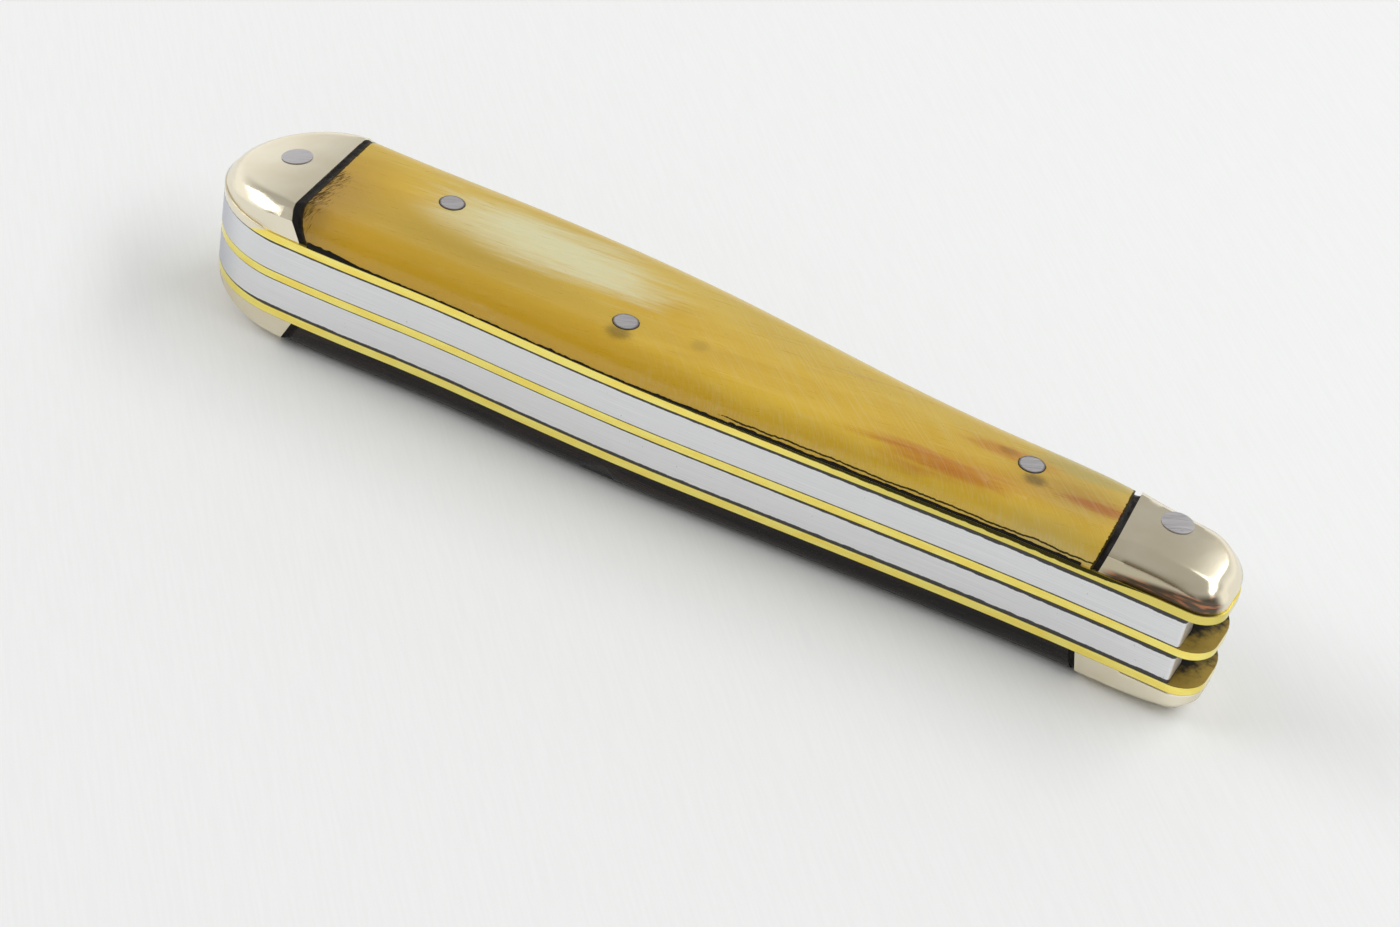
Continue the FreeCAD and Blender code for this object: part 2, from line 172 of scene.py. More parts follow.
# Straw and gold sides of the front scale, horn colour with painted light on the opening side and painted
# shade on the back: where each starts and is full in Y, and its slope along X
LIT_STRAW_Y = (-1.5, 8.5)
LIT_STRAW_SLOPE = 0.06
SHADED_GOLD_Y = (-5.5, -10.5)
SHADED_GOLD_SLOPE = 0.10

# Crack along the foot of the front scale: height above it, sway, border, and where it stops in Y
CRACK_HEIGHT = 0.15
CRACK_SWAY = 0.9
CRACK_BORDER = (0.19, 0.02)
CRACK_BACK_Y = (-2.5, -3.5)

# Ovals on the front scale: middle in X and Y, half length, half width and turn
# The tea band is painted shade on the back half towards the butt
TEA_SHADE_BAND = ((-26, -3.8), 30, 5.6, 0)
CREAM_PATCH = ((-19.5, 2.3), 20, 6.6, -2)
CREAM_TAIL = ((-12.5, 0.8), 12, 4.0, -4)
FILED_FIELD = ((-40, -4.2), 4.5, 6.4, 0)
CRACKED_FIELD = ((22, -6), 24, 4, 0)

# Soft hazes and ragged streaks on the front scale: colour, middle in X and Y, half sizes, turn, strength
HORN_HAZES = (
    (CREAM, (-23.0, 0.4), (12, 4.2), 2.0, 0.35),
    (CREAM, (-28.5, 0.5), (8, 3.5), 0.0, 0.25),
    (UMBER, (-42.0, -6.0), (9, 16), 0.0, 1.0),
    (STRAW, (35.5, -6.8), (9, 3.0), 6.0, 0.9),
    (RUSSET, (28.5, -3.4), (9, 2.6), 6.0, 0.45),
    (UMBER, (36.5, -1.2), (9, 4.6), 0.0, 0.8),
)
HORN_STREAKS = (
    (OLIVE, (36.0, 3.2), (10, 3.0), 0.0, 0.8),
    (RUSSET, (23.5, -4.5), (12, 2.4), 3.0, 0.95),
    (RUSSET, (28.5, 0.9), (8, 1.6), 4.0, 0.7),
    (RED_BROWN, (38.4, -1.2), (6.5, 1.6), 6.0, 0.7),
)

# Dark smudges on the front scale, some of soot and some of painted shadow and reflection below the pins:
# middle in X and Y, half sizes, strength
HORN_SOOT_AND_SHADOW_SMUDGES = (
    ((-7.7, -5.8), (2.3, 1.7), 0.5),
    ((-0.8, -2.8), (1.6, 1.6), 0.18),
    ((32.2, -1.2), (2.0, 1.5), 0.55),
    ((28.6, 1.2), (1.8, 0.9), 0.25),
    ((-40.0, -7.6), (4.0, 3.0), 0.2),
)

# Painted shade in the gaps along the lower and upper edges of each layer: the width of each at the butt and
# at the joint
SEAM_SHADE_WIDTHS = {
    "front_liner": ((0.04, 0.04), (0.02, 0.46)),
    "clip_spring": ((0.04, 0.09), (0.16, 0.40)),
    "centre_liner": ((0.05, 0.05), (0.05, 0.05)),
    "spey_spring": ((0.28, 0.38), (0.05, 0.38)),
    "rear_liner": ((0.02, 0.02), (0.06, 0.06)),
}

# Faces of the liners in the blade wells: 1 is the upper face and -1 the lower
WELL_FACES = {
    "front_liner": (-1,),
    "centre_liner": (-1, 1),
    "rear_liner": (1,),
}

# Resin in the joints: points round each ring, the rings' places across the joint, and how far it is sunk
GAP_POINTS = 120
GAP_SHARES = (0.02, 0.2, 0.5, 0.8, 0.98)
GAP_SUNK = 0.10
GAP_HOLLOW = 0.10
GAP_UNEVEN = 0.08
GAP_LUMPS_PER_MM = 1.3

# Bead of resin along the foot of the front scale: its ends in X, its spacing, its height and what is added
BEAD_START_X = -39.0
BEAD_END_X = 39.5
BEAD_SPACING = 0.3
BEAD_LEAST_HEIGHT = 0.04
BEAD_HEIGHT = 0.13
BEAD_BUTT_HEIGHT = 0.53
BEAD_BUTT_LENGTH = 5.0
BEAD_JOINT_HEIGHT = 0.15
BEAD_COARSE = 0.18
BEAD_COARSE_PER_MM = 0.35
BEAD_FINE = 0.14
BEAD_FINE_PER_MM = 1.9


def box_mm(node):
    """Low and high corner of a CAD piece's box, in millimetres."""
    low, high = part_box(node)
    return low / MM, high / MM


def pin_circle(name):
    """Middle and radius of a pin."""
    low, high = box_mm(name)
    return (low + high) / 2, (high.x - low.x) / 2


def ramp(value, start, length):
    """0 up to the start, then a straight rise to 1 over the length."""
    return min(1.0, max(0.0, (value - start) / length))


class Nodes:
    """Short ways to add nodes to a shader tree."""

    def __init__(self, tree):
        self.tree = tree

    def link(self, value, socket):
        """Joins a node's output to a socket, or sets a plain value on it."""
        if isinstance(value, bpy.types.NodeSocket):
            self.tree.links.new(value, socket)
        else:
            socket.default_value = value

    def vector(self, operation, first, second=None, scale=None):
        """Result of an operation on one or two vectors."""
        node = self.tree.nodes.new("ShaderNodeVectorMath")
        node.operation = operation
        self.link(first, node.inputs[0])
        if second is not None:
            self.link(second, node.inputs[1])
        if scale is not None:
            self.link(scale, node.inputs["Scale"])
        return node.outputs["Value" if operation in ("LENGTH", "DOT_PRODUCT") else "Vector"]

    def math(self, operation, first, second=0.0, third=0.0):
        """Result of an operation on up to three numbers."""
        node = self.tree.nodes.new("ShaderNodeMath")
        node.operation = operation
        for value, socket in zip((first, second, third), node.inputs):
            self.link(value, socket)
        return node.outputs[0]

    def apart(self, first, second):
        """Distance between two numbers."""
        return self.math("ABSOLUTE", self.math("SUBTRACT", first, second))

    def all_of(self, *masks):
        """Mask of where all the masks are."""
        shared = masks[0]
        for mask in masks[1:]:
            shared = self.math("MULTIPLY", shared, mask)
        return shared

    def any_of(self, *masks):
        """Mask of where at least one of the masks is."""
        united = masks[0]
        for mask in masks[1:]:
            united = self.math("MAXIMUM", united, mask)
        return united

    def axis(self, vector, name):
        """One coordinate of a vector."""
        node = self.tree.nodes.new("ShaderNodeSeparateXYZ")
        self.link(vector, node.inputs[0])
        return node.outputs[name]

    def step(self, value, low, high, bottom=0.0, top=1.0):
        """Smooth step from bottom to top as the value goes from low to high."""
        node = self.tree.nodes.new("ShaderNodeMapRange")
        node.interpolation_type = "SMOOTHSTEP"
        for number, socket in zip((value, low, high, bottom, top), node.inputs):
            self.link(number, socket)
        return node.outputs[0]

    def mix(self, share, first, second):
        """Mix of two colours."""
        node = self.tree.nodes.new("ShaderNodeMix")
        node.data_type = "RGBA"
        self.link(share, node.inputs[0])
        self.link(first, node.inputs[6])
        self.link(second, node.inputs[7])
        return node.outputs[2]

    def mottled(self, pattern, first, second, low=0.35, high=NOISE_HIGH):
        """From the first colour to the second as a pattern goes from low to high."""
        return self.mix(self.step(pattern, low, high), first, second)

    def laid_over(self, colour, tint, mask, strength):
        """A colour with a tint over it where the mask is."""
        return self.mix(self.math("MULTIPLY", mask, strength), colour, tint)


class Paint(Nodes):
    """A material under construction: its shader and the place on the piece in millimetres."""

    def __init__(self, name):
        self.material = bpy.data.materials.new(name)
        self.material.use_nodes = True
        super().__init__(self.material.node_tree)
        self.shader = self.tree.nodes["Principled BSDF"]
        coordinates = self.tree.nodes.new("ShaderNodeTexCoord")
        geometry = self.tree.nodes.new("ShaderNodeNewGeometry")
        self.facing = geometry.outputs["True Normal"]
        self.normal = geometry.outputs["Normal"]
        self.place = self.vector("SCALE", coordinates.outputs["Object"], scale=1 / MM)
        self.x = self.axis(self.place, "X")
        self.y = self.axis(self.place, "Y")
        self.z = self.axis(self.place, "Z")

    def mapped(self, centre, turn, size):
        """The place seen from a centre, turned about Z and measured in sizes along each axis."""
        node = self.tree.nodes.new("ShaderNodeMapping")
        node.vector_type = "TEXTURE"
        self.link(self.place, node.inputs["Vector"])
        node.inputs["Location"].default_value = centre
        node.inputs["Rotation"].default_value = (0, 0, math.radians(turn))
        node.inputs["Scale"].default_value = size
        return node.outputs[0]

    def grain(self, size, turn=0.0, detail=3.0, roughness=0.5, distortion=0.0):
        """Noise whose features have the given size in millimetres, about 0.5 in the mean."""
        node = self.tree.nodes.new("ShaderNodeTexNoise")
        self.link(self.mapped((0, 0, 0), turn, size), node.inputs["Vector"])
        node.inputs["Scale"].default_value = 1.0
        node.inputs["Detail"].default_value = detail
        node.inputs["Roughness"].default_value = roughness
        node.inputs["Distortion"].default_value = distortion
        return node.outputs["Fac"]

    def varied(self, pattern, bottom, top):
        """A number that follows the usual range of a pattern, from bottom to top."""
        return self.step(pattern, NOISE_LOW, NOISE_HIGH, bottom, top)

    def spot(self, centre, half_length, half_width, turn=0.0, soft=1.0):
        """Mask of a soft oval seen from above: 1 in its middle, 0 outside."""
        place = self.mapped((centre[0], centre[1], 0), turn, (half_length, half_width, FLAT))
        return self.step(self.vector("LENGTH", place), 1.0, 1.0 - soft)

    def radius_from(self, centre):
        """Distance from an upright axis."""
        return self.vector("LENGTH", self.mapped((centre[0], centre[1], 0), 0, (1, 1, FLAT)))

    def ragged(self, mask, pattern, amount, low=NOISE_LOW, high=NOISE_HIGH):
        """A soft mask with its border broken up by a pattern."""
        shifted = self.math("MULTIPLY_ADD", self.math("SUBTRACT", pattern, 0.5), amount, mask)
        return self.step(shifted, low, high)

    def blend(self, share, first, second):
        """Mix of two vectors."""
        node = self.tree.nodes.new("ShaderNodeMix")
        node.data_type = "VECTOR"
        self.link(share, node.inputs[0])
        self.link(first, node.inputs[4])
        self.link(second, node.inputs[5])
        return node.outputs[1]

    def bump(self, height, strength, distance, normal=None):
        """Normal of a surface that a pattern raises by up to a distance."""
        node = self.tree.nodes.new("ShaderNodeBump")
        node.inputs["Strength"].default_value = strength
        node.inputs["Distance"].default_value = distance * MM
        self.link(height, node.inputs["Height"])
        if normal is not None:
            self.link(normal, node.inputs["Normal"])
        return node.outputs[0]

    def rounded(self, radius):
        """Normal that rounds off sharp edges."""
        node = self.tree.nodes.new("ShaderNodeBevel")
        node.samples = BEVEL_SAMPLES
        node.inputs["Radius"].default_value = radius * MM
        return node.outputs[0]

    def set(self, **values):
        """Sets inputs of the shader, named with underscores for spaces."""
        for name, value in values.items():
            self.link(value, self.shader.inputs[name.replace("_", " ")])


def paint_node(paint, *nodes):
    """Gives CAD pieces a material."""
    for name in nodes:
        for material_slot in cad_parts[name].material_slots:
            material_slot.material = paint.material


def joint_distance(paint, edge_x, toe, inward):
    """Distance in X from a joint's slanted plane.

    Its foot and its positive side lie towards +X when inward is 1, and towards -X when it is -1.
    """
    lean = math.tan(math.radians(JOINT_LEAN))
    slope = math.tan(math.radians(toe))
    crest_z = box_mm("front_scale")[1].z
    upright = paint.math("MULTIPLY_ADD", paint.y, lean, paint.x)
    drop = paint.math("SUBTRACT", crest_z, paint.z)
    foot = paint.math("MULTIPLY_ADD", drop, inward * slope, edge_x)
    return paint.math("MULTIPLY", paint.math("SUBTRACT", upright, foot), inward)


def horn_ground(paint, fibre, blur):
    """Amber clouds, straw and painted light towards the opening edge, gold and painted shade towards the
    back, a tea band of painted shade and a cream patch.
    """
    cloud = paint.grain((17, 5, 5), turn=5, detail=3, distortion=0.4)
    colour = paint.mottled(cloud, DEEP_AMBER, AMBER, high=0.65)
    # Partly horn colour, partly painted light and shade of the crowned top: lighter towards the opening edge,
    # deeper gold towards the back
    lit_straw_y = paint.math("MULTIPLY_ADD", paint.x, LIT_STRAW_SLOPE, paint.y)
    colour = paint.mix(paint.step(lit_straw_y, *LIT_STRAW_Y, 0.0, 0.75), colour, STRAW)
    shaded_gold_y = paint.math("MULTIPLY_ADD", paint.x, SHADED_GOLD_SLOPE, paint.y)
    colour = paint.mix(paint.step(shaded_gold_y, *SHADED_GOLD_Y, 0.0, 0.9), colour, SHADED_GOLD)
    # Painted shade: a tea-brown band on the back half towards the butt
    colour = paint.mix(paint.spot(*TEA_SHADE_BAND), colour, TEA_SHADE)
    wisps = paint.math("MULTIPLY_ADD", blur, 0.6, paint.math("MULTIPLY", fibre, 0.4))
    cream = paint.ragged(paint.spot(*CREAM_PATCH), wisps, 1.5, 0.05, 1.0)
    colour = paint.mix(cream, colour, CREAM)
    cream_tail = paint.ragged(paint.spot(*CREAM_TAIL), wisps, 1.2, 0.2, 1.5)
    return paint.mix(cream_tail, colour, CREAM)


def file_marks(paint, off_butt):
    """Mask of the fine dark file marks beside the butt joint."""
    marks = paint.grain((0.07, 0.9, 0.8), turn=-12, detail=2)
    field = paint.all_of(paint.step(off_butt, 3.2, 0.2), paint.spot(*FILED_FIELD, soft=0.5))
    return paint.step(paint.math("MULTIPLY_ADD", field, 0.36, marks), 0.76, 0.90, 0.0, 0.85)


def edge_crack(paint, speck):
    """Mask of the broken dark line along the scale's back edge, on its joint half."""
    ledge_z = box_mm("front_scale")[0].z
    sway = paint.grain((4, 4, FLAT), detail=4, roughness=0.7)
    line_z = paint.math("MULTIPLY_ADD", sway, CRACK_SWAY, ledge_z + CRACK_HEIGHT)
    line = paint.step(paint.apart(paint.z, line_z), *CRACK_BORDER)
    field = paint.spot(*CRACKED_FIELD, soft=0.3)
    at_back = paint.step(paint.y, *CRACK_BACK_Y)
    return paint.ragged(paint.all_of(line, field, at_back), speck, 1.2, 0.4, 0.6)


def pin_ring(paint, pin, speck):
    """Mask of the thin dark ring round a pin."""
    centre, radius = pin_circle(pin)
    off_rim = paint.apart(paint.radius_from(centre), radius)
    return paint.ragged(paint.step(off_rim, RING_WIDTH, 0.0), speck, 1.4, 0.35, 0.7)


def horn_soot(paint, speck):
    """Mask of the soot at the joints, in the file marks, along the back edge and round the pins."""
    off_butt = joint_distance(paint, BUTT_EDGE_X, BUTT_TOE, 1)
    off_pivot = joint_distance(paint, PIVOT_EDGE_X, PIVOT_TOE, -1)
    butt_line = paint.ragged(paint.step(off_butt, 0.3, 0.0), speck, 1.3, 0.4, 0.6)
    pivot_line = paint.ragged(paint.step(off_pivot, 0.4, 0.0), speck, 1.3, 0.45, 0.65)
    rings = [pin_ring(paint, pin, speck) for pin in FRONT_SCALE_PINS]
    return paint.any_of(file_marks(paint, off_butt), butt_line, pivot_line, edge_crack(paint, speck), *rings)


def honey_horn():
    """Polished amber horn of the front scale, with its streaks, scratches, soot, and painted light, shade and
    reflections.
    """
    paint = Paint("honey_horn")
    fibre = paint.grain((4, 0.28, 0.5), turn=9, detail=5, roughness=0.62, distortion=0.3)
    blur = paint.grain((9, 1.1, 1.5), turn=5, detail=3, distortion=0.6)
    speck = paint.grain((0.35, 0.35, 0.35), detail=4, roughness=0.7)
    colour = horn_ground(paint, fibre, blur)
    for tint, centre, size, turn, strength in HORN_HAZES:
        colour = paint.laid_over(colour, tint, paint.spot(centre, *size, turn), strength)
    for tint, centre, size, turn, strength in HORN_STREAKS:
        streak = paint.ragged(paint.spot(centre, *size, turn), blur, 1.2, 0.15, 0.95)
        colour = paint.laid_over(colour, tint, streak, strength)
    # Painted reflection of the bright surroundings: the shoulder that faces the opening edge is paler
    painted_pale_reflection = paint.step(paint.axis(paint.facing, "Y"), 0.45, 0.95, 0.0, 0.6)
    colour = paint.mix(painted_pale_reflection, colour, CREAM)
    colour = paint.vector("SCALE", colour, scale=paint.step(fibre, 0.25, 0.75, 0.985, 1.015))
    scratch = paint.grain((0.09, 5, 1), turn=48, detail=2)
    scratched = paint.all_of(paint.step(scratch, 0.48, 0.64), paint.step(paint.x, *SCRATCHES_X, 0.15, 1.0))
    colour = paint.laid_over(colour, CREAM, scratched, 0.12)
    red_dots = paint.grain((0.16, 0.16, 0.16), detail=1)
    colour = paint.mix(paint.step(red_dots, 0.76, 0.80, 0.0, 0.6), colour, RED_BROWN)
    soot = horn_soot(paint, speck)
    colour = paint.laid_over(colour, SOOT_AND_SHADE_BLACK, soot, 0.93)
    # Smudges of soot, and painted shadow and reflection below the pins
    for centre, size, strength in HORN_SOOT_AND_SHADOW_SMUDGES:
        soot_and_shadow_smudge = paint.ragged(paint.spot(centre, *size), speck, 0.5, 0.1, 0.9)
        colour = paint.laid_over(colour, SOOT_AND_SHADE_BLACK, soot_and_shadow_smudge, strength)
    paint.set(Base_Color=colour, Specular_IOR_Level=paint.step(soot, 0.2, 0.8, 0.55, 0.08))
    paint.set(Roughness=paint.varied(fibre, 0.27, 0.34))
    paint.set(Subsurface_Weight=0.12, Subsurface_Radius=(1.0, 0.6, 0.15), Subsurface_Scale=1.2 * MM)
    waves = paint.bump(blur, 0.08, 0.25)
    fibres = paint.bump(fibre, 0.012, 0.05, waves)
    paint.set(Normal=paint.bump(scratched, 0.10, 0.03, fibres))
    return paint


def dark_horn():
    """Near-black horn of the rear scale."""
    paint = Paint("dark_horn")
    streaks = paint.grain((14, 1.2, 1.2), turn=3, detail=5, distortion=0.6)
    fibre = paint.grain((5, 0.3, 0.4), turn=3, detail=4)
    paint.set(Base_Color=paint.mottled(streaks, BLACK_HORN, BLACK_HORN_STREAK))
    paint.set(Roughness=paint.varied(fibre, 0.2, 0.34), Specular_IOR_Level=0.3)
    paint.set(Normal=paint.bump(fibre, 0.1, 0.05))
    return paint


def nickel_colour(paint):
    """Nickel with a painted dim reflection low on the back of the front joint bolster and a painted dark
    brown reflection with orange glints along its foot.
    """
    haze = paint.grain((5, 5, 5), detail=4)
    colour = paint.mottled(haze, NICKEL, NICKEL_WARM)
    foot_z = box_mm("front_joint_bolster")[0].z
    on_front = paint.step(paint.z, foot_z - 1.0, foot_z - 0.5)
    # Painted dim reflection, low on the back of the bolster
    dim_reflection = paint.all_of(
        paint.step(paint.y, *DIM_REFLECTION_BACK_Y),
        paint.step(paint.math("SUBTRACT", paint.z, foot_z), *DIM_REFLECTION_TOP),
        paint.step(paint.x, PIVOT_EDGE_X - 2, PIVOT_EDGE_X - 1),
        paint.step(paint.x, *DIM_REFLECTION_END_X),
        on_front,
    )
    colour = paint.laid_over(colour, NICKEL_DIM_REFLECTION, dim_reflection, 0.9)
    # Painted dark brown reflection, with painted orange glints, along the foot of the bolster
    past_edge = paint.math("SUBTRACT", paint.x, PIVOT_EDGE_X)
    reflection_band_top = paint.math("MULTIPLY_ADD", past_edge, REFLECTION_BAND_SLOPE, foot_z + REFLECTION_BAND_HEIGHT)
    reflection_band = paint.all_of(
        paint.step(paint.math("SUBTRACT", paint.z, reflection_band_top), *REFLECTION_BAND_TOP),
        paint.step(paint.y, *REFLECTION_BAND_BACK_Y),
        paint.step(paint.x, PIVOT_EDGE_X, PIVOT_EDGE_X + 2),
        on_front,
    )
    glint_pattern = paint.grain((2.5, 1, 0.25), detail=2)
    painted_reflection = paint.mottled(glint_pattern, DARK_REFLECTION, REFLECTED_GLINT, low=0.5)
    return paint.laid_over(colour, painted_reflection, reflection_band, 0.9)


def bolster_normal(paint):
    """Normal that rounds the bolsters' bevels, but not their joints and the rims of their pins."""
    at_butt_joint = paint.step(joint_distance(paint, BUTT_EDGE_X, BUTT_TOE, -1), *BUTT_FADE)
    at_pivot_joint = paint.step(joint_distance(paint, PIVOT_EDGE_X, PIVOT_TOE, 1), *PIVOT_FADE)
    sharp = [
        paint.all_of(at_butt_joint, paint.step(paint.x, 0, -1)),
        paint.all_of(at_pivot_joint, paint.step(paint.x, 0, 1)),
    ]
    for pin in BOLSTER_PINS:
        centre, radius = pin_circle(pin)
        off_rim = paint.math("SUBTRACT", paint.radius_from(centre), radius)
        sharp.append(paint.step(off_rim, *PIN_FADE))
    return paint.blend(paint.any_of(*sharp), paint.rounded(BEVEL_RADIUS), paint.normal)


def nickel_silver():
    """Buffed nickel silver of the bolsters."""
    paint = Paint("nickel_silver")
    buff = paint.grain((2.5, 0.06, 0.06), turn=24, detail=3)
    paint.set(Base_Color=nickel_colour(paint), Metallic=1.0, Roughness=paint.varied(buff, 0.16, 0.19))
    paint.set(Normal=paint.bump(buff, 0.005, 0.02, bolster_normal(paint)))
    return paint


def seam_shade(paint, edge_z, way, width):
    """Mask of the painted shade along a layer's edge, in the gap at the next layer: way is 1 when the layer
    lies above the edge, else -1.
    """
    depth = paint.math("MULTIPLY", paint.math("SUBTRACT", paint.z, edge_z), way)
    width_noise = paint.grain((1.6, 1.6, FLAT), detail=5, roughness=0.65)
    uneven_width = paint.math("MULTIPLY", paint.math("ADD", width_noise, 0.5), width)
    thinning = paint.step(paint.x, *SEAM_THINNING_X, 0.2, 1.0)
    reach = paint.math("MULTIPLY", uneven_width, thinning)
    return paint.step(paint.math("SUBTRACT", depth, reach), 0.03, -0.03)


def both_seam_shades(paint, node, clean_x):
    """Mask of the painted shade along both edges of a layer, which thins out past clean_x."""
    low, high = box_mm(node)
    along = paint.step(paint.x, *SEAM_WIDENING_X)
    kept = paint.step(paint.x, clean_x + SEAM_END_LENGTH, clean_x)
    lines = []
    for edge_z, way, (at_butt, at_joint) in zip((low.z, high.z), (1, -1), SEAM_SHADE_WIDTHS[node]):
        width = paint.math("MULTIPLY_ADD", along, at_joint - at_butt, at_butt)
        lines.append(seam_shade(paint, edge_z, way, paint.math("MULTIPLY", width, kept)))
    return paint.any_of(*lines)


def brass(node):
    """Brass of a liner: a bright edge with painted shade along its seams, and dull faces in the blade wells.

    The front liner's edge is nickel-coloured round the butt, and aged towards the joint.
    """
    paint = Paint(node + "_brass")
    rub = paint.grain((2.5, 2.5, 0.5), detail=3)
    colour = paint.mottled(rub, BRASS, BRASS_WORN)
    clean_x = BEYOND_END
    if node == "front_liner":
        clean_x = PIVOT_EDGE_X
        from_top = paint.math("SUBTRACT", paint.z, box_mm(node)[1].z)
        slanted_x = paint.math("MULTIPLY_ADD", from_top, LINER_NICKEL_SLANT, paint.x)
        colour = paint.mix(paint.step(slanted_x, *LINER_NICKEL_X), colour, NICKEL)
        colour = paint.mix(paint.step(paint.x, *LINER_AGED_X), colour, BRASS_AGED)
    patina = paint.grain((0.9, 0.9, 0.9), detail=4, roughness=0.6)
    pivot, _ = pin_circle("pivot_pin")
    to_rim = paint.step(paint.radius_from(pivot), *WELL_POLISH_RADII)
    dull = paint.mix(paint.ragged(to_rim, patina, 1.3, 0.25, 1.0), BRASS_PATINA, BRASS_DULL)
    rise = paint.axis(paint.facing, "Z")
    faces = [paint.step(paint.math("MULTIPLY", rise, side), 0.4, 0.6) for side in WELL_FACES[node]]
    in_well = paint.any_of(*faces)
    colour = paint.mix(in_well, colour, dull)
    level = paint.math("ABSOLUTE", rise)
    # Painted shade along the seams, on the liner's side walls only
    dark = paint.all_of(both_seam_shades(paint, node, clean_x), paint.step(level, 0.5, 0.3))
    colour = paint.laid_over(colour, SOOT_AND_SHADE_BLACK, dark, 0.95)
    paint.set(Base_Color=colour, Metallic=paint.step(in_well, 0, 1, 1.0, 0.6))
    paint.set(Roughness=paint.step(level, 0.4, 0.6, 0.16, 0.55), Normal=paint.bump(rub, 0.08, 0.03))
    return paint


def spring_steel(node):
    """Ground steel of a spring, with a few pits and painted shade along its seams, greyer round the butt."""
    paint = Paint(node + "_steel")
    brushed = paint.grain((9, 9, 0.07), detail=3)
    pitted = paint.step(paint.grain((0.28, 0.28, 0.28), detail=2), 0.74, 0.80)
    colour = paint.mottled(brushed, SPRING_DARK, SPRING_LIGHT, low=NOISE_LOW)
    colour = paint.laid_over(colour, SPRING_PIT, pitted, 0.55)
    colour = paint.mix(paint.step(paint.x, *SPRING_GREY_X), colour, SPRING_BUTT)
    # Painted shade along the seams, which also takes away the metal's shine there
    dark = both_seam_shades(paint, node, BEYOND_END)
    colour = paint.laid_over(colour, SOOT_AND_SHADE_BLACK, dark, 0.96)
    paint.set(Base_Color=colour, Metallic=paint.step(dark, 0, 1, 0.9, 0.0))
    paint.set(Roughness=paint.varied(brushed, 0.34, 0.48))
    paint.set(Normal=paint.bump(pitted, -0.3, 0.03, paint.bump(brushed, 0.08, 0.02)))
    return paint


def blade_steel():
    """Steel of the blades, ground across their length."""
    paint = Paint("blade_steel")
    ground = paint.grain((0.06, 4, 4), detail=3)
    smear = paint.grain((6, 3, 3), detail=3)
    paint.set(Base_Color=paint.mottled(smear, BLADE_DARK, BLADE_LIGHT), Metallic=1.0)
    paint.set(Roughness=paint.varied(ground, 0.16, 0.28), Normal=paint.bump(ground, 0.06, 0.02))
    return paint


def pin_steel(node):
    """Filed steel of a pin, rougher and with painted shade on its side, with a sooty rim where it ends in
    horn.
    """
    centre, radius = pin_circle(node)
    paint = Paint(node + "_steel")
    filed = paint.grain((2.0, 0.07, 1), turn=35, detail=3)
    colour = paint.mottled(filed, PIN_DARK, PIN_LIGHT, low=NOISE_LOW)
    if node not in BOLSTER_PINS:
        worn = paint.grain((0.4, 0.4, 0.4), detail=3)
        to_rim = paint.step(paint.radius_from(centre), radius - PIN_RIM_WIDTH, radius)
        rim = paint.ragged(to_rim, worn, 0.8)
        colour = paint.laid_over(colour, SOOT_AND_SHADE_BLACK, rim, 0.55)
    # Painted shade on the pin's side, which keeps its rim from glinting
    side = paint.step(paint.math("ABSOLUTE", paint.axis(paint.facing, "Z")), 0.9, 0.6)
    colour = paint.laid_over(colour, PIN_SIDE_SHADE, side, 0.6)
    roughness = paint.math("MULTIPLY_ADD", side, 0.45, paint.varied(filed, 0.26, 0.4))
    paint.set(Base_Color=colour, Metallic=0.9, Roughness=roughness)
    paint.set(Normal=paint.bump(filed, 0.06, 0.02))
    return paint


def resin():
    """Lumpy black resin."""
    paint = Paint("black_resin")
    lump = paint.grain((0.5, 0.5, 0.5), detail=4, roughness=0.65)
    paint.set(Base_Color=paint.mottled(lump, SOOT_AND_SHADE_BLACK, RESIN_BROWN, low=0.55, high=0.8))
    paint.set(Roughness=paint.varied(lump, 0.4, 0.7), Specular_IOR_Level=0.2)
    paint.set(Normal=paint.bump(lump, 0.5, 0.1))
    return paint


def solid(name, rings, paint):
    """Closed piece from rings of points in millimetres, joined one to the next and capped at both ends."""
    count = len(rings[0])
    corners = [point * MM for ring in rings for point in ring]
    faces = [tuple(reversed(range(count)))]
    for row in range(len(rings) - 1):
        for column in range(count):
            here = row * count + column
            beside = row * count + (column + 1) % count
            faces.append((here, beside, beside + count, here + count))
    last = (len(rings) - 1) * count
    faces.append(tuple(range(last, last + count)))
    mesh = bpy.data.meshes.new(name)
    mesh.from_pydata(corners, [], faces)
    shell = bmesh.new()
    shell.from_mesh(mesh)
    bmesh.ops.recalc_face_normals(shell, faces=shell.faces)
    shell.to_mesh(mesh)
    shell.free()
    mesh.materials.append(paint.material)
    piece = bpy.data.objects.new(name, mesh)
    bpy.context.collection.objects.link(piece)
    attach(piece, HANDLE)


def end_rim(node, way):
    """Corners, in order, of the slanted flat end of a piece that looks along +X (way 1) or -X (way -1)."""
    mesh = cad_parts[node].data
    towards_end = 0.8
    same_plane = 0.9999
    facing = [face for face in mesh.polygons if face.normal.x * way > towards_end]
    largest = max(facing, key=lambda face: face.area)
    uses = {}
    for face in facing:
        if face.normal.dot(largest.normal) > same_plane:
            for key in face.edge_keys:
                uses[key] = uses.get(key, 0) + 1
    beside = {}
    for first, second in (key for key, count in uses.items() if count == 1):
        beside.setdefault(first, []).append(second)
        beside.setdefault(second, []).append(first)
    start = min(beside, key=lambda index: mesh.vertices[index].co.y)
    rim = [start]
    following = beside[start][0]
    while following != start:
        previous = rim[-1]
        rim.append(following)
        following = next(index for index in beside[following] if index != previous)
    return [mesh.vertices[index].co / MM for index in rim]


